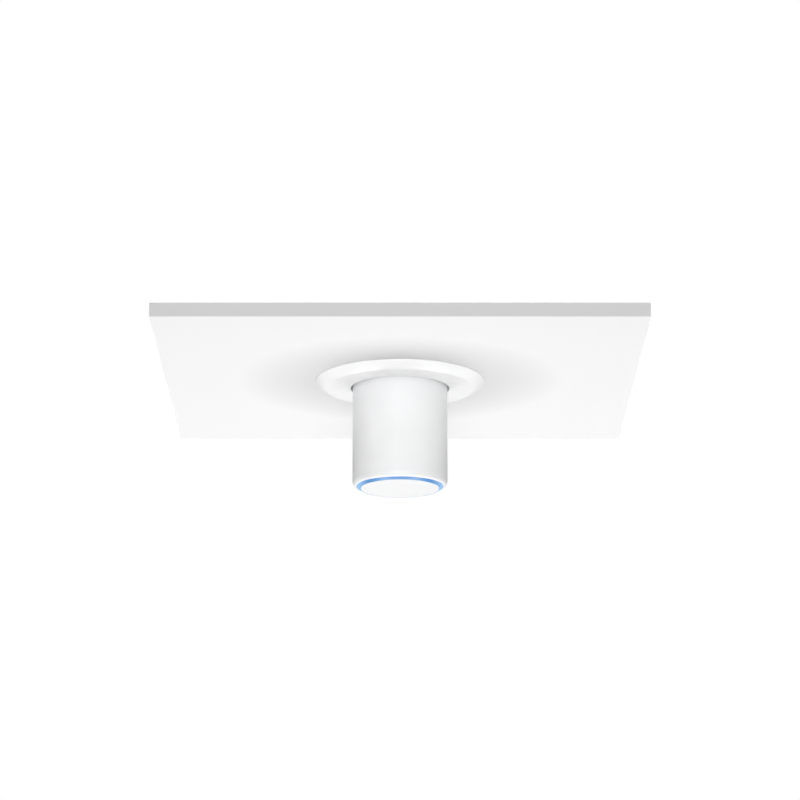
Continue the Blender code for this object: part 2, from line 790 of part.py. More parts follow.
def make_coax(number, angle):
    """A thin coaxial lead from the antenna's foot, through the carrier, to the nearer board."""
    turn = Matrix.Rotation(math.radians(angle), 4, "Z")
    side_x = 1 if math.cos(math.radians(angle)) > 0 else -1
    side_y = 1 if math.sin(math.radians(angle)) > 0 else -1
    foot = turn @ Vector((49.9, -6.5, -59))
    inside = turn @ Vector((45.0, -6.5, -59))
    drop = turn @ Vector((40.0, -5.0, -63))
    board = Vector((side_x * 27, side_y * 13.0, -76))
    plug = Vector((side_x * 26, side_y * 8.7, -78))
    curve = bpy.data.curves.new(f"antenna_coax_{number}", "CURVE")
    curve.dimensions = "3D"
    curve.bevel_depth = 0.7 * MM
    curve.bevel_resolution = 2
    curve.use_fill_caps = True
    route = smooth_route([foot, inside, drop, board, plug], 4)
    spline = curve.splines.new("POLY")
    spline.points.add(len(route) - 1)
    for point, place_at in zip(spline.points, route):
        point.co = (*(place_at * MM), 1)
    obj = bpy.data.objects.new(curve.name, curve)
    curve.materials.append(COAX)
    PARTS.objects.link(obj)
    return obj


def main():
    make_mount_base()
    make_trim_ring()
    make_bayonet_plate()
    make_bayonet_studs()
    make_plate_screws()
    make_clamp_screws()
    make_clamp_nuts()
    make_clamp_dogs()
    make_outer_shell()
    make_base_cap()
    make_seal_ring()
    make_light_ring()
    make_end_disc()
    make_base_screws()
    make_led_board()
    make_leds()
    make_heat_sink()
    make_board("main_board", 1, MAIN_BOARD_TOP)
    make_board("radio_board", -1, RADIO_BOARD_TOP)
    make_board_screws()
    make_shielding(1, 1)
    make_shielding(2, -1)
    make_rj45_jack()
    make_jack_contacts()
    make_transformer()
    make_reset()
    make_antennas()
    make_antenna_frame()
    for number, angle in enumerate(ANTENNA_ANGLES, 1):
        make_coax(number, angle)


main()
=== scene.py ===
"""Looks of the recessed ceiling access point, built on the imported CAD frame.

Lengths in the shapes are in mm. Those of the camera, the lights and the stage are in metres.
"""

import json
import math

import bmesh
import bpy
from mathutils import Matrix, Vector


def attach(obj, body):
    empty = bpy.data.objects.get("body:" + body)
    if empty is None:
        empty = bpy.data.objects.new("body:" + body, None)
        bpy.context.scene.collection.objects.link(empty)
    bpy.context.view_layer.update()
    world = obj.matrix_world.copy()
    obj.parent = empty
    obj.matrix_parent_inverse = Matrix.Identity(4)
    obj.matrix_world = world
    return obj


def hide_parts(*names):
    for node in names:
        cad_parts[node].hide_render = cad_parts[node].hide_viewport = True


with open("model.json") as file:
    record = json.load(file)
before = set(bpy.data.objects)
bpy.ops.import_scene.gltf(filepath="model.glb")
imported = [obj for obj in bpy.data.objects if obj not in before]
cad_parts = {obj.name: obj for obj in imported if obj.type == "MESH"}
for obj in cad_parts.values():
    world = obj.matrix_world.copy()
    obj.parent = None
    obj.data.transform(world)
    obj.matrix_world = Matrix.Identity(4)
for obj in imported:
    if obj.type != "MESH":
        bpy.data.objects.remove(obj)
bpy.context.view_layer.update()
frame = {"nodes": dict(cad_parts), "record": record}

MM = 0.001
MOUNT = "ceiling_mount"
UNIT = "access_point"
CLAMP_ANGLES = (90, 210, 330)
BOSS_ANGLES = (30, 150, 270)
FLOOR_TONE = (0.84, 0.84, 0.84)

CAMERA_PLACE = (0, -3.609, -0.9806)
CAMERA_TILT = 14.87  # degrees above level
LENS = 144.45

FLOOR_REACH = 40
FLOOR_Z = -2.4
CEILING_Z = 0.05 * MM
CEILING_HALF_WIDTH = 0.272
CEILING_FRONT = 0.2686
CEILING_BACK = 0.2712
CEILING_HOLE_RADIUS = 0.0983
CEILING_STEPS = 256
CEILING_TONE = 0.82
SHADED_TONE = 0.64  # of the ceiling beside the trim ring
SHADE_START = 0.098
SHADE_END = 0.19
# The strip in front of the ceiling sheet stands for the sheet's front edge; its grey tone is painted shade of
# that edge.
EDGE_HALF_WIDTH = 0.268
EDGE_FRONT = 0.321
EDGE_SHADE_TONE = 0.55
WORLD_STRENGTH = 0.35
BACKDROP_RISE = 0.13  # height, as the sine of the angle above level, at which the backdrop is white

ROUND_STEPS = 256  # faces round the large turned pieces that the camera sees
SHARP_ANGLE = 35  # degrees between faces that are shaded as an edge

TRIM_RADIUS = 98.5
TRIM_CURVE = 14.5  # width of the curved part
TRIM_EDGE_Z = -1.2
TRIM_CURVE_DEPTH = 8.1
TRIM_STEPS = 24

CLAMP_CIRCLE = 68.0
PLATE_SCREW_CIRCLE = 55.0
STUD_CIRCLE = 40.0
SCREW_HOLE_RADIUS = 2.3
CROSS_SHARE = 0.24  # thickness of a driver cross's arms, as a share of its width
KNURL_TEETH = 48
KNURL_DEPTH = 0.022  # as a share of the radius

CAD_EDGE_WIDTH = 0.25
CAD_EDGE_ANGLE = 40  # degrees


# Camera and stage


def make_camera():
    """Below the object and in front, looking up at it."""
    camera = bpy.data.objects.new("camera", bpy.data.cameras.new("camera"))
    bpy.context.scene.collection.objects.link(camera)
    camera.data.lens = LENS
    camera.data.sensor_width = 36.0
    camera.data.clip_start = 0.05
    camera.data.clip_end = 60.0
    camera.location = CAMERA_PLACE
    camera.rotation_euler = (math.radians(90 + CAMERA_TILT), 0, 0)
    bpy.context.scene.camera = camera


def make_light(name, location, size, power, target=(0, 0, -0.06)):
    light = bpy.data.lights.new(name, "AREA")
    light.shape = "SQUARE"
    light.size = size
    light.energy = power
    obj = bpy.data.objects.new(name, light)
    bpy.context.scene.collection.objects.link(obj)
    obj.location = location
    obj.rotation_euler = (Vector(location) - Vector(target)).to_track_quat("Z", "Y").to_euler()


def grey(tone):
    return (tone, tone, tone)


def seen_and_felt(tree, felt, seen):
    """A shader that the camera sees, in place of the one that lights the object."""
    mix = tree.nodes.new("ShaderNodeMixShader")
    ray = tree.nodes.new("ShaderNodeLightPath")
    tree.links.new(ray.outputs["Is Camera Ray"], mix.inputs["Fac"])
    tree.links.new(felt, mix.inputs[1])
    tree.links.new(seen, mix.inputs[2])
    return mix.outputs[0]


def make_world(felt):
    """A backdrop that rises from the floor's tone to white, and a softer white that lights the object."""
    bpy.context.scene.view_settings.view_transform = "Standard"
    world = bpy.data.worlds.new("studio")
    bpy.context.scene.world = world
    world.use_nodes = True
    tree = world.node_tree
    tree.nodes.clear()
    out = tree.nodes.new("ShaderNodeOutputWorld")
    soft = tree.nodes.new("ShaderNodeBackground")
    soft.inputs["Color"].default_value = (1, 1, 1, 1)
    soft.inputs["Strength"].default_value = felt
    backdrop = tree.nodes.new("ShaderNodeBackground")
    direction = tree.nodes.new("ShaderNodeTexCoord")
    split = tree.nodes.new("ShaderNodeSeparateXYZ")
    rise = tree.nodes.new("ShaderNodeValToRGB")
    rise.color_ramp.elements[0].position = 0.0
    rise.color_ramp.elements[0].color = (*FLOOR_TONE, 1)
    rise.color_ramp.elements[1].position = BACKDROP_RISE
    rise.color_ramp.elements[1].color = (1, 1, 1, 1)
    tree.links.new(direction.outputs["Generated"], split.inputs[0])
    tree.links.new(split.outputs["Z"], rise.inputs["Fac"])
    tree.links.new(rise.outputs[0], backdrop.inputs["Color"])
    tree.links.new(seen_and_felt(tree, soft.outputs[0], backdrop.outputs[0]), out.inputs["Surface"])


def make_sheet(name, corners, material):
    bm = bmesh.new()
    bm.faces.new([bm.verts.new(corner) for corner in corners])
    place(name, bm, material)


def make_ceiling(material):
    """A sheet of ceiling with a round hole in it, which the trim ring covers."""
    bm = bmesh.new()
    inner, outer = [], []
    for step in range(CEILING_STEPS):
        angle = 2 * math.pi * step / CEILING_STEPS
        x, y = math.cos(angle), math.sin(angle)
        depth = CEILING_BACK if y > 0 else CEILING_FRONT
        reach = min(CEILING_HALF_WIDTH / max(abs(x), 1e-9), depth / max(abs(y), 1e-9))
        inner.append(bm.verts.new((CEILING_HOLE_RADIUS * x, CEILING_HOLE_RADIUS * y, CEILING_Z)))
        outer.append(bm.verts.new((reach * x, reach * y, CEILING_Z)))
    for step in range(CEILING_STEPS):
        following = (step + 1) % CEILING_STEPS
        bm.faces.new((inner[step], inner[following], outer[following], outer[step]))
    for x in (-CEILING_HALF_WIDTH, CEILING_HALF_WIDTH):
        for depth in (-CEILING_FRONT, CEILING_BACK):
            corner = bm.verts.new((x, depth, CEILING_Z))
            near = sorted(outer, key=lambda vert: (vert.co - corner.co).length)[:2]
            bm.faces.new((corner, *near))
    bmesh.ops.recalc_face_normals(bm, faces=bm.faces)
    for face in bm.faces:
        if face.normal.z > 0:
            face.normal_flip()
    place("ceiling", bm, material)


def one_sided(name, colour):
    """A matt surface seen from below only, so that views from above look through it."""
    material, tree, shader = new_material(name, colour, 0.9)
    clear = tree.nodes.new("ShaderNodeBsdfTransparent")
    mix = tree.nodes.new("ShaderNodeMixShader")
    side = tree.nodes.new("ShaderNodeNewGeometry")
    out = tree.nodes["Material Output"]
    tree.links.new(side.outputs["Backfacing"], mix.inputs["Fac"])
    tree.links.new(shader.outputs[0], mix.inputs[1])
    tree.links.new(clear.outputs[0], mix.inputs[2])
    tree.links.new(mix.outputs[0], out.inputs["Surface"])
    return material


def shade_towards_trim(material):
    """Darkens the ceiling a little beside the trim ring."""
    tree = material.node_tree
    point = tree.nodes.new("ShaderNodeTexCoord")
    reach = tree.nodes.new("ShaderNodeVectorMath")
    reach.operation = "LENGTH"
    ramp = tree.nodes.new("ShaderNodeValToRGB")
    ramp.color_ramp.elements[0].position = SHADE_START
    ramp.color_ramp.elements[0].color = (*grey(SHADED_TONE), 1)
    ramp.color_ramp.elements[1].position = SHADE_END
    ramp.color_ramp.elements[1].color = (*grey(CEILING_TONE), 1)
    tree.links.new(point.outputs["Object"], reach.inputs[0])
    tree.links.new(reach.outputs["Value"], ramp.inputs["Fac"])
    tree.links.new(ramp.outputs["Color"], tree.nodes["Principled BSDF"].inputs["Base Color"])


def floor_material():
    material, tree, shader = new_material("floor", FLOOR_TONE, 0.8)
    glow = tree.nodes.new("ShaderNodeEmission")
    glow.inputs["Color"].default_value = (*FLOOR_TONE, 1)
    lit = seen_and_felt(tree, shader.outputs[0], glow.outputs[0])
    tree.links.new(lit, tree.nodes["Material Output"].inputs["Surface"])
    return material


def make_stage():
    corners = [(-1, -1), (1, -1), (1, 1), (-1, 1)]
    make_sheet("floor", [(x * FLOOR_REACH, y * FLOOR_REACH, FLOOR_Z) for x, y in corners], floor_material())
    ceiling = one_sided("ceiling_face", grey(CEILING_TONE))
    shade_towards_trim(ceiling)
    make_ceiling(ceiling)
    # A flat grey strip in front of the ceiling sheet stands for the sheet's front edge: painted shade of that
    # edge.
    edge = one_sided("ceiling_edge_shade", grey(EDGE_SHADE_TONE))
    outline = [
        (-EDGE_HALF_WIDTH, -EDGE_FRONT),
        (-CEILING_HALF_WIDTH, -CEILING_FRONT),
        (CEILING_HALF_WIDTH, -CEILING_FRONT),
        (EDGE_HALF_WIDTH, -EDGE_FRONT),
    ]
    make_sheet("ceiling_front", [(x, y, CEILING_Z) for x, y in outline], edge)


# Materials


def new_material(name, colour, roughness, metallic=0.0):
    material = bpy.data.materials.new(name)
    material.use_nodes = True
    tree = material.node_tree
    shader = tree.nodes["Principled BSDF"]
    shader.inputs["Base Color"].default_value = (*colour, 1)
    shader.inputs["Roughness"].default_value = roughness
    shader.inputs["Metallic"].default_value = metallic
    return material, tree, shader


class Nodes:
    """Short ways to add the nodes that the materials share, in object coordinates."""

    def __init__(self, name, colour, roughness, metallic=0.0):
        self.material, self.tree, self.shader = new_material(name, colour, roughness, metallic)
        self.point = self.tree.nodes.new("ShaderNodeTexCoord").outputs["Object"]
        self.bumped = None

    def link(self, output, target):
        self.tree.links.new(output, target)

    def stretched(self, scale):
        node = self.tree.nodes.new("ShaderNodeMapping")
        node.inputs["Scale"].default_value = scale
        self.link(self.point, node.inputs["Vector"])
        return node.outputs[0]

    def noise(self, scale, detail=2.0, point=None):
        node = self.tree.nodes.new("ShaderNodeTexNoise")
        node.inputs["Scale"].default_value = scale
        node.inputs["Detail"].default_value = detail
        self.link(point or self.point, node.inputs["Vector"])
        return node.outputs["Fac"]

    def cells(self, scale, feature="F1", output="Distance", point=None):
        node = self.tree.nodes.new("ShaderNodeTexVoronoi")
        node.feature = feature
        node.inputs["Scale"].default_value = scale
        self.link(point or self.point, node.inputs["Vector"])
        return node.outputs[output]

    def ramp(self, value, stops):
        node = self.tree.nodes.new("ShaderNodeValToRGB")
        elements = node.color_ramp.elements
        while len(elements) < len(stops):
            elements.new(0.5)
        for element, (place_at, colour) in zip(elements, stops):
            element.position = place_at
            element.color = (*colour, 1) if hasattr(colour, "__len__") else (colour, colour, colour, 1)
        self.link(value, node.inputs["Fac"])
        return node.outputs["Color"]

    def to_range(self, value, low, high, start=0.0, end=1.0):
        node = self.tree.nodes.new("ShaderNodeMapRange")
        node.inputs["From Min"].default_value = start
        node.inputs["From Max"].default_value = end
        node.inputs["To Min"].default_value = low
        node.inputs["To Max"].default_value = high
        self.link(value, node.inputs["Value"])
        return node.outputs[0]

    def math(self, operation, first, second):
        node = self.tree.nodes.new("ShaderNodeMath")
        node.operation = operation
        for value, target in zip((first, second), node.inputs):
            if isinstance(value, (int, float)):
                target.default_value = value
            else:
                self.link(value, target)
        return node.outputs[0]

    def vary_colour(self, value, low, high):
        """Base colour between two tones, by a value from 0 to 1."""
        self.link(self.ramp(value, [(0.3, low), (0.7, high)]), self.shader.inputs["Base Color"])

    def vary_roughness(self, value, low, high):
        self.link(self.to_range(value, low, high, 0.3, 0.7), self.shader.inputs["Roughness"])

    def bump(self, value, distance, strength=1.0):
        node = self.tree.nodes.new("ShaderNodeBump")
        node.inputs["Distance"].default_value = distance
        node.inputs["Strength"].default_value = strength
        self.link(value, node.inputs["Height"])
        if self.bumped is not None:
            self.link(self.bumped, node.inputs["Normal"])
        self.bumped = node.outputs[0]
        self.link(self.bumped, self.shader.inputs["Normal"])

    def set(self, **values):
        for name, value in values.items():
            self.shader.inputs[name.replace("_", " ")].default_value = value


def tone(colour, factor):
    return tuple(min(1.0, channel * factor) for channel in colour)


def moulded(name, colour, roughness, grain, depth, spread=0.02):
    """Moulded plastic: fine grain, a faint drift of tone and of gloss."""
    n = Nodes(name, colour, roughness)
    drift = n.noise(28.0, 3.0)
    n.vary_colour(drift, tone(colour, 1 - spread), tone(colour, 1 + spread / 2))
    n.vary_roughness(n.noise(90.0, 3.0), roughness - 0.05, roughness + 0.06)
    n.bump(n.noise(grain, 3.0), depth * MM, 0.5)
    n.set(IOR=1.49)
    return n.material


def metal(name, colour, roughness, grain=600.0, depth=0.01, stretch=(1, 1, 1), spread=0.10):
    """Bare or plated metal: cloudy tone, fine scratches along one way."""
    n = Nodes(name, colour, roughness, 1.0)
    n.vary_colour(n.noise(160.0, 4.0), tone(colour, 1 - spread), tone(colour, 1 + spread / 2))
    fine = n.noise(grain, 3.0, n.stretched(stretch))
    n.vary_roughness(fine, roughness - 0.08, roughness + 0.12)
    n.bump(fine, depth * MM, 0.4)
    return n.material


def galvanised():
    """Sheet steel with the small flat crystals of hot-dip zinc."""
    colour = (0.60, 0.62, 0.64)
    n = Nodes("galvanised_sheet", colour, 0.38, 1.0)
    crystals = n.cells(420.0, output="Color")
    n.vary_colour(crystals, tone(colour, 0.93), tone(colour, 1.04))
    n.vary_roughness(n.cells(420.0, output="Distance"), 0.34, 0.44)
    n.bump(n.noise(900.0, 3.0), 0.006 * MM, 0.4)
    return n.material


def circuit(name, colour, copper, scale):
    """Lacquered board with tracks under the lacquer."""
    n = Nodes(name, colour, 0.32)
    tracks = n.cells(scale, "DISTANCE_TO_EDGE", "Distance")
    lines = n.ramp(tracks, [(0.0, copper), (0.045, copper), (0.06, colour)])
    n.link(lines, n.shader.inputs["Base Color"])
    n.bump(n.to_range(tracks, 1.0, 0.0, 0.0, 0.06), 0.03 * MM, 0.5)
    n.vary_roughness(n.noise(300.0, 2.0), 0.26, 0.40)
    return n.material


def lit_guide():
    """Translucent light guide: blue light, a little uneven along the ring, and paler at its left and right by
    a painted sheen.
    """
    n = Nodes("light_guide", (0.03, 0.07, 0.16), 0.22)
    drift = n.noise(60.0, 2.0)
    split = n.tree.nodes.new("ShaderNodeSeparateXYZ")
    n.link(n.point, split.inputs[0])
    side = n.math("ABSOLUTE", split.outputs["X"], 0)
    # Paler light towards the left and right is painted sheen; the blue is the ring's own light.
    glow = n.ramp(side, [(0.036, (0.05, 0.20, 0.45)), (0.0495, (0.31, 0.50, 0.70))])
    n.link(glow, n.shader.inputs["Emission Color"])
    n.link(n.to_range(drift, 0.96, 1.04, 0.3, 0.7), n.shader.inputs["Emission Strength"])
    n.bump(n.noise(1500.0, 2.0), 0.004 * MM, 0.4)
    n.set(IOR=1.5)
    return n.material


WHITE = moulded("white_plastic", (0.885, 0.888, 0.895), 0.40, 2600.0, 0.006)
TRIM_WHITE = moulded("trim_plastic", (0.95, 0.95, 0.955), 0.20, 2600.0, 0.0012)
MOUNT_WHITE = moulded("mount_plastic", (0.78, 0.78, 0.77), 0.52, 1400.0, 0.03, 0.04)
BLACK = moulded("black_nylon", (0.028, 0.028, 0.030), 0.55, 1600.0, 0.03, 0.20)
CARRIER = moulded("antenna_carrier", (0.14, 0.14, 0.15), 0.55, 1600.0, 0.03, 0.10)
LIGHT = lit_guide()
STEEL = metal("zinc_steel", (0.60, 0.61, 0.63), 0.30)
SHEET = galvanised()
BRASS = metal("brass", (0.74, 0.56, 0.27), 0.30, 900.0, 0.008)
ALUMINIUM = metal("aluminium", (0.68, 0.69, 0.71), 0.45, 500.0, 0.03)
TIN = metal("tinned_shield", (0.68, 0.68, 0.66), 0.26, 500.0, 0.006, (1, 8, 1))
BOARD = circuit("circuit_board", (0.012, 0.16, 0.07), (0.03, 0.30, 0.12), 320.0)
LED_BOARD = circuit("white_board", (0.78, 0.78, 0.76), (0.70, 0.70, 0.67), 260.0)
LED = moulded("led_package", (0.90, 0.84, 0.50), 0.30, 3000.0, 0.004, 0.05)
PAD = moulded("thermal_pad", (0.32, 0.46, 0.58), 0.80, 900.0, 0.03, 0.10)
COAX = moulded("coax_jacket", (0.05, 0.05, 0.055), 0.42, 1800.0, 0.006, 0.10)
RUBBER = moulded("seal_rubber", (0.045, 0.045, 0.045), 0.75, 1200.0, 0.02, 0.15)


# Shapes


def place(name, bm, material):
    mesh = bpy.data.meshes.new(name)
    bm.to_mesh(mesh)
    bm.free()
    obj = bpy.data.objects.new(name, mesh)
    bpy.context.scene.collection.objects.link(obj)
    mesh.materials.append(material)
    mesh.shade_smooth()
    mesh.set_sharp_from_angle(angle=math.radians(SHARP_ANGLE))
    return obj


def taken_from(obj):
    """The mesh of an object as a bmesh. The object is removed."""
    bm = bmesh.new()
    bm.from_mesh(obj.data)
    bpy.data.objects.remove(obj)
    return bm


def on_circle(radius, angle):
    return radius * math.cos(math.radians(angle)), radius * math.sin(math.radians(angle))


def put_on_circle(obj, radius, angle, z=0.0):
    x, y = on_circle(radius, angle)
    obj.data.transform(Matrix.Translation((x * MM, y * MM, z * MM)))


def arc(centre, radius, start, end, steps):
    """Points on an arc in radius and height, both ends included."""
    points = []
    for step in range(steps + 1):
        angle = math.radians(start + (end - start) * step / steps)
        points.append((centre[0] + radius * math.cos(angle), centre[1] + radius * math.sin(angle)))
    return points


def rounded(profile, radius, steps=3):
    """The closed profile with its corners rounded. A corner's third value is a radius of its own."""
    made = []
    count = len(profile)
    for index, corner in enumerate(profile):
        here = Vector(corner[:2])
        before = Vector(profile[index - 1][:2]) - here
        after = Vector(profile[(index + 1) % count][:2]) - here
        reach = min(corner[2] if len(corner) > 2 else radius, before.length * 0.45, after.length * 0.45)
        if reach <= 0 or corner[0] == 0:
            made.append(tuple(here))
            continue
        start, end = here + before.normalized() * reach, here + after.normalized() * reach
        for step in range(steps + 1):
            t = step / steps
            made.append(tuple(start * (1 - t) ** 2 + here * 2 * t * (1 - t) + end * t**2))
    return made


def revolve(name, profile, material, segments=160, closed=True):
    """A profile of (radius, height) in mm turned about Z. Points on the axis become one point."""
    bm = bmesh.new()
    rings = []
    for radius, z in profile:
        if radius < 1e-6:
            rings.append([bm.verts.new((0, 0, z * MM))])
            continue
        ring = []
        for step in range(segments):
            angle = 2 * math.pi * step / segments
            ring.append(bm.verts.new((radius * MM * math.cos(angle), radius * MM * math.sin(angle), z * MM)))
        rings.append(ring)
    pairs = list(zip(rings, rings[1:]))
    if closed and len(rings[0]) > 1:
        pairs.append((rings[-1], rings[0]))
    for upper, lower in pairs:
        for step in range(segments):
            following = (step + 1) % segments
            if len(upper) == 1 and len(lower) == 1:
                break
            if len(upper) == 1:
                bm.faces.new((upper[0], lower[step], lower[following]))
            elif len(lower) == 1:
                bm.faces.new((upper[step], lower[0], upper[following]))
            else:
                bm.faces.new((upper[step], lower[step], lower[following], upper[following]))
    bmesh.ops.recalc_face_normals(bm, faces=bm.faces)
    return place(name, bm, material)


def stand_for(obj, body, slot, *nodes):
    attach(obj, body)
    if nodes:
        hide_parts(*nodes)
    return obj


# What the photograph shows


def trim_height(radius):
    share = min(1.0, max(0.0, (TRIM_RADIUS - radius) / TRIM_CURVE))
    return TRIM_EDGE_Z - TRIM_CURVE_DEPTH * math.sin(math.pi / 2 * share)


def make_trim():
    radii = [TRIM_RADIUS - TRIM_CURVE * step / TRIM_STEPS for step in range(TRIM_STEPS + 1)]
    face = [(radius, trim_height(radius)) for radius in radii]
    back = [(radius, trim_height(radius) + 1.3) for radius in reversed(radii[4:])]
    lip = arc((58.1, -8.5), 0.8, 270, 180, 5)
    profile = [
        (98.2, -0.1),
        (TRIM_RADIUS, -0.35),
        (TRIM_RADIUS, -0.95),
        (98.35, -1.35),
        *face[1:],
        *lip,
        (57.3, -2.7),
        (58.7, -2.7),
        (58.7, -8.0),
        *back,
        (96.9, -0.1),
    ]
    obj = revolve("trim_ring_face", profile, TRIM_WHITE, ROUND_STEPS)
    return stand_for(obj, MOUNT, "white_plastic", "trim_ring")


def make_shell():
    lip = 50.5
    corner = [(lip + 4.5 * x, -118.3 + 7.4 * y) for x, y in arc((0, 0), 1.0, 0, -90, 24)]
    profile = [(54.7, 22.0), (55.0, 21.7), *corner, (lip, -123.0), (52.8, -123.0), (52.8, 22.0)]
    stand_for(revolve("shell", profile, WHITE, ROUND_STEPS), UNIT, "white_plastic", "outer_shell")


def make_light_ring():
    profile = [
        (52.4, -117.3),
        (52.4, -122.7),
        (50.2, -122.7),
        (50.2, -125.5),
        (50.1, -125.75),
        (45.9, -128.25),
        (45.7, -128.2),
        (45.7, -118.6),
        (50.1, -118.6),
        (50.1, -117.3),
    ]
    stand_for(revolve("lit_ring", profile, LIGHT, ROUND_STEPS), UNIT, "light_guide", "light_ring")


def make_end_disc():
    face = -128.35
    angles = [math.radians(degrees) for degrees in range(12, 91, 6)]
    dome = [(45.3 * math.cos(angle), face - 0.7 * math.sin(angle)) for angle in angles]
    dome[-1] = (0.0, dome[-1][1])
    profile = [(0, face + 2.2), (43.3, face + 2.2), (43.3, face + 6.4), (45.3, face + 6.4)]
    profile += [(45.3, face + 0.7), (45.22, face + 0.3), (45.0, face)]
    profile += [point for point in dome if point[0] < 44.8]
    obj = revolve("end_face", profile, WHITE, ROUND_STEPS, closed=False)
    stand_for(obj, UNIT, "white_plastic", "end_disc")


# Above the ceiling


def outline_prism(outline, low, high, bevel, turn):
    """A flat outline in (x, z) with thickness along y from low to high, its edges rounded, as a bmesh."""
    bm = bmesh.new()
    front = [bm.verts.new((x * MM, low * MM, z * MM)) for x, z in outline]
    back = [bm.verts.new((x * MM, high * MM, z * MM)) for x, z in outline]
    bm.faces.new(front)
    bm.faces.new(list(reversed(back)))
    for index in range(len(outline)):
        following = (index + 1) % len(outline)
        bm.faces.new((front[following], front[index], back[index], back[following]))
    bmesh.ops.recalc_face_normals(bm, faces=bm.faces)
    if bevel:
        bmesh.ops.bevel(bm, geom=bm.edges[:], offset=bevel * MM, segments=2, profile=0.5, affect="EDGES")
    bmesh.ops.transform(bm, matrix=Matrix.Rotation(math.radians(turn), 4, "Z"), verts=bm.verts)
    return bm


def combine(obj, bm, operation):
    """Joins a bmesh to an object's mesh, or cuts it away, leaving one closed surface."""
    other = place("other", bm, WHITE)
    tool = obj.modifiers.new("combine", "BOOLEAN")
    tool.solver = "EXACT"
    tool.operation = operation
    tool.object = other
    tool.material_mode = "TRANSFER"
    bpy.context.view_layer.update()
    mesh = bpy.data.meshes.new_from_object(obj.evaluated_get(bpy.context.evaluated_depsgraph_get()))
    obj.modifiers.clear()
    material = obj.data.materials[0]
    obj.data = mesh
    mesh.materials.clear()
    mesh.materials.append(material)
    bpy.data.objects.remove(other)
    mesh.shade_smooth()
    mesh.set_sharp_from_angle(angle=math.radians(SHARP_ANGLE))


def add_to(obj, bm):
    combine(obj, bm, "UNION")


def cut_away(obj, bm):
    combine(obj, bm, "DIFFERENCE")


def drill(obj, x, y, z, depth):
    """Cuts a clearance hole for a clamp screw, centred on the point."""
    bm = bmesh.new()
    radius = SCREW_HOLE_RADIUS * MM
    bmesh.ops.create_cone(bm, cap_ends=True, segments=32, radius1=radius, radius2=radius, depth=depth * MM)
    bmesh.ops.translate(bm, vec=(x * MM, y * MM, z * MM), verts=bm.verts)
    cut_away(obj, bm)


def make_mount_body():
    profile = [
        (90.0, 0.0),
        (90.0, -2.4),
        (57.3, -2.4),
        (57.3, 33.0),
        (59.7, 33.0),
        (59.7, 2.2),
        (61.2, 0.0, 2.0),
    ]
    obj = revolve("mount_body", rounded(profile, 0.4), MOUNT_WHITE, 192)
    for angle in range(0, 360, 60):
        slot = [(74.9, -10), (77.9, -10), (77.9, 10), (74.9, 10)]
        cut_away(obj, outline_prism(slot, -4.1, 4.1, 0, angle))
    for angle in CLAMP_ANGLES:
        drill(obj, *on_circle(CLAMP_CIRCLE, angle), -1.2, 8)
        tower = [(58.5, -1), (77, -1), (77, 39.4), (58.5, 39.4)]
        add_to(obj, outline_prism(tower, 6.8, 9.2, 0.45, angle))
        bridge = [(63.5, 37), (76, 37), (76, 39.5), (63.5, 39.5)]
        piece = place("bridge", outline_prism(bridge, -4.5, 8.2, 0.45, 0), MOUNT_WHITE)
        drill(piece, CLAMP_CIRCLE, 0, 38, 20)
        bm = taken_from(piece)
        bmesh.ops.transform(bm, matrix=Matrix.Rotation(math.radians(angle), 4, "Z"), verts=bm.verts)
        add_to(obj, bm)
        for offset in (20, 60, -40):
            web = [(58.5, -1), (74, -1), (74, 2), (62, 22), (58.5, 22)]
            add_to(obj, outline_prism(web, -1, 1, 0.3, angle + offset))
    stand_for(obj, MOUNT, "mount_plastic", "mount_base")


def make_trim_hooks(trim):
    for angle in range(0, 360, 60):
        hook = [(75.2, -8.6), (76.8, -8.6), (76.8, 0.4), (77.6, 0.4), (77.0, 1.9), (75.6, 2.0), (75.2, 1.4)]
        add_to(trim, outline_prism(hook, -3.7, 3.7, 0.12, angle))


def make_plate():
    low, high = 33.3, 35.3
    profile = [
        (58.2, high),
        (58.2, low),
        (27.0, low),
        (27.0, high + 2.5),
        (28.6, high + 2.5),
        (28.6, high + 1.0),
        (29.8, high, 1.0),
    ]
    obj = revolve("plate", rounded(profile, 0.35), SHEET, 192)
    stand_for(obj, MOUNT, "galvanised_sheet", "bayonet_plate")


def cut_cross(obj, top, width, depth, turn):
    """Cuts a recess for a cross-head driver into a head whose top is at the given height."""
    for angle in (0, 90):
        turned = Matrix.Rotation(math.radians(angle + turn), 3, "Z")
        bm = bmesh.new()
        bmesh.ops.create_cube(bm, size=1.0)
        bmesh.ops.scale(bm, vec=(width * MM, width * CROSS_SHARE * MM, depth * 2 * MM), verts=bm.verts)
        bmesh.ops.rotate(bm, cent=(0, 0, 0), matrix=turned, verts=bm.verts)
        bmesh.ops.translate(bm, vec=(0, 0, top * MM), verts=bm.verts)
        cut_away(obj, bm)


def pan_head(radius, height):
    """The outline of a pan head above its seat, from the axis out and down."""
    angles = [math.radians(degrees) for degrees in range(0, 91, 10)]
    dome = [(radius * math.sin(angle), height * 0.45 + height * 0.55 * math.cos(angle)) for angle in angles]
    dome[0] = (0.0, height)
    return [*dome, (radius, height * 0.12), (radius - 0.15, 0.0)]


def make_plate_screws():
    for number, angle in enumerate(BOSS_ANGLES, 1):
        profile = [*pan_head(2.8, 2.0), (1.25, 0.0), (1.25, -6.4), (0.75, -7.0), (0.0, -7.0)]
        obj = revolve(f"plate_fixing_{number}", profile, STEEL, 40, closed=False)
        cut_cross(obj, 2.0, 3.0, 1.0, 17 * number)
        put_on_circle(obj, PLATE_SCREW_CIRCLE, angle, 35.6)
        stand_for(obj, MOUNT, "zinc_steel", f"plate_screw_{number}")


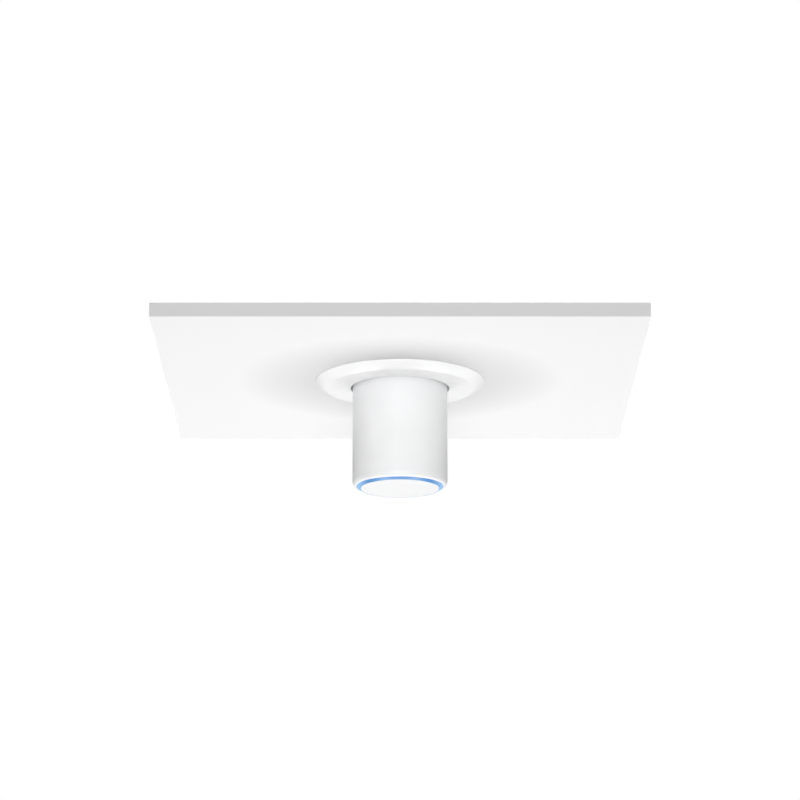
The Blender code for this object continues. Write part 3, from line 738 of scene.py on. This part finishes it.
def make_studs():
    profile = [
        (0.0, 37.0),
        (2.6, 36.95),
        (3.6, 36.75),
        (4.15, 36.3),
        (4.2, 35.6),
        (2.0, 35.6),
        (2.0, 33.0),
        (3.2, 33.0),
        (3.2, 26.3),
        (2.0, 26.3),
        (2.0, 23.2),
        (4.0, 23.2),
        (4.0, 22.0),
        (3.4, 21.4),
        (0.0, 21.4),
    ]
    for number, angle in enumerate(BOSS_ANGLES, 1):
        obj = revolve(f"stud_{number}", profile, STEEL, 48, closed=False)
        put_on_circle(obj, STUD_CIRCLE, angle)
        stand_for(obj, MOUNT, "zinc_steel", f"bayonet_stud_{number}")


def make_clamp_screws():
    """Machine screws with a real thread, head down."""
    pitch, outer, inner = 0.7, 2.0, 1.62
    seat, low, high, segments, rows = -2.7, -3.1, 41.0, 24, 6
    for number, angle in enumerate(CLAMP_ANGLES, 1):
        bm = bmesh.new()
        rings = []
        count = int((high - 0.8 - low) / pitch * rows)
        for row in range(count + 1):
            z = low + row * pitch / rows
            ring = []
            for step in range(segments):
                phase = (row / rows - step / segments) % 1.0
                ridge = 1 - abs(2 * phase - 1)
                radius = inner + (outer - inner) * min(1.0, ridge * 1.25)
                a = 2 * math.pi * step / segments
                ring.append(bm.verts.new((radius * math.cos(a) * MM, radius * math.sin(a) * MM, z * MM)))
            rings.append(ring)
        tip = []
        for step in range(segments):
            a = 2 * math.pi * step / segments
            tip.append(bm.verts.new((1.2 * math.cos(a) * MM, 1.2 * math.sin(a) * MM, high * MM)))
        rings.append(tip)
        for lower, upper in zip(rings, rings[1:]):
            for step in range(segments):
                following = (step + 1) % segments
                bm.faces.new((lower[step], lower[following], upper[following], upper[step]))
        bm.faces.new(tip)
        bm.faces.new(list(reversed(rings[0])))
        bmesh.ops.recalc_face_normals(bm, faces=bm.faces)
        obj = place(f"clamp_thread_{number}", bm, STEEL)
        profile = [(radius, -z) for radius, z in pan_head(4.0, 2.0)] + [(0.0, 0.0)]
        head = revolve("head", profile, STEEL, 40, closed=False)
        cut_cross(head, -2.0, 4.2, 1.2, 20)
        bm = taken_from(head)
        bmesh.ops.translate(bm, vec=(0, 0, seat * MM), verts=bm.verts)
        add_to(obj, bm)
        put_on_circle(obj, CLAMP_CIRCLE, angle)
        stand_for(obj, f"clamp_screw_{number}", "zinc_steel", f"clamp_screw_{number}")


def make_clamp_nuts():
    """Brass bushes with a knurled flange."""
    profile = [
        (5.3, 29.2),
        (5.6, 28.9),
        (5.6, 27.9),
        (5.3, 27.6),
        (4.0, 27.6),
        (4.0, 16.5),
        (2.3, 16.5),
        (2.3, 28.8),
        (2.7, 29.2),
    ]
    for number, angle in enumerate(CLAMP_ANGLES, 1):
        obj = revolve(f"nut_{number}", profile, BRASS, KNURL_TEETH * 2)
        for vert in obj.data.vertices:
            radius = math.hypot(vert.co.x, vert.co.y)
            if radius > 5.5 * MM:
                turn = math.atan2(vert.co.y, vert.co.x)
                grip = 1 - KNURL_DEPTH * (round(turn / (2 * math.pi) * KNURL_TEETH * 2) % 2)
                vert.co.x *= grip
                vert.co.y *= grip
        put_on_circle(obj, CLAMP_CIRCLE, angle)
        stand_for(obj, f"clamp_nut_{number}", "brass", f"clamp_nut_{number}")


def box(low, high):
    bm = bmesh.new()
    bmesh.ops.create_cube(bm, size=1.0)
    for vert in bm.verts:
        vert.co = [MM * (low[i] + (high[i] - low[i]) * (vert.co[i] + 0.5)) for i in range(3)]
    return bm


def make_jack():
    """The network socket: a folded metal shield around a black housing with a keyed opening."""
    top, bottom = 25.7, 3.0
    shield = place("jack_shield", box((-8, 7.9, bottom), (8, 21.4, top)), TIN)
    cut_away(shield, box((-7.6, 8.3, bottom - 1), (7.6, 21.0, top + 1)))
    for side in (-1, 1):
        cut_away(shield, box((side * 7.8 - 0.6, 12.4, 18.0), (side * 7.8 + 0.6, 16.4, 22.6)))
        add_to(shield, box((side * 7.55 - 0.1, 13.0, 18.4), (side * 7.55 + 0.1, 15.8, 22.6)))
    stand_for(shield, UNIT, "tinned_shield", "rj45_jack")
    housing = place("jack_housing", box((-7.45, 8.4, bottom + 0.2), (7.45, 20.9, top - 0.4)), BLACK)
    cut_away(housing, box((-5.9, 10.4, top - 13.3), (5.9, 17.6, 40)))
    cut_away(housing, box((-3.2, 17.0, top - 12.7), (3.2, 19.8, 40)))
    cut_away(housing, box((-1.6, 19.5, top - 12.7), (1.6, 20.4, 40)))
    stand_for(housing, UNIT, "black_nylon")


# Finishes of the CAD pieces that stay

FINISHES = {
    "white_plastic": WHITE,
    "mount_plastic": MOUNT_WHITE,
    "light_guide": LIGHT,
    "black_nylon": BLACK,
    "zinc_steel": STEEL,
    "galvanised_sheet": SHEET,
    "brass": BRASS,
    "circuit_board": BOARD,
    "white_board": LED_BOARD,
    "led_package": LED,
    "aluminium": ALUMINIUM,
    "tinned_shield": TIN,
    "thermal_pad": PAD,
    "antenna_carrier": CARRIER,
    "coax_jacket": COAX,
    "seal_rubber": RUBBER,
}


def dress_cad_nodes():
    for part in frame["record"]["subparts"]:
        node = frame["nodes"][part["node"]]
        if node.hide_render:
            continue
        node.data.materials.clear()
        node.data.materials.append(FINISHES[part["material_slot"]])
        bevel = node.modifiers.new("edges", "BEVEL")
        bevel.width = CAD_EDGE_WIDTH * MM
        bevel.segments = 2
        bevel.limit_method = "ANGLE"
        bevel.angle_limit = math.radians(CAD_EDGE_ANGLE)


make_camera()
make_world(WORLD_STRENGTH)
make_stage()
make_light("front", (0, -3.6, -1.2), 1.6, 73)
make_light("below", (0, 0.95, -2.3), 1.6, 55)
make_light("above", (1.2, -1.4, 2.6), 2.0, 48)
make_light("behind", (-1.5, 2.1, 3.0), 1.6, 36, (0, 0, 0.02))
make_trim_hooks(make_trim())
make_shell()
make_light_ring()
make_end_disc()
make_mount_body()
make_plate()
make_plate_screws()
make_studs()
make_clamp_screws()
make_clamp_nuts()
make_jack()
dress_cad_nodes()
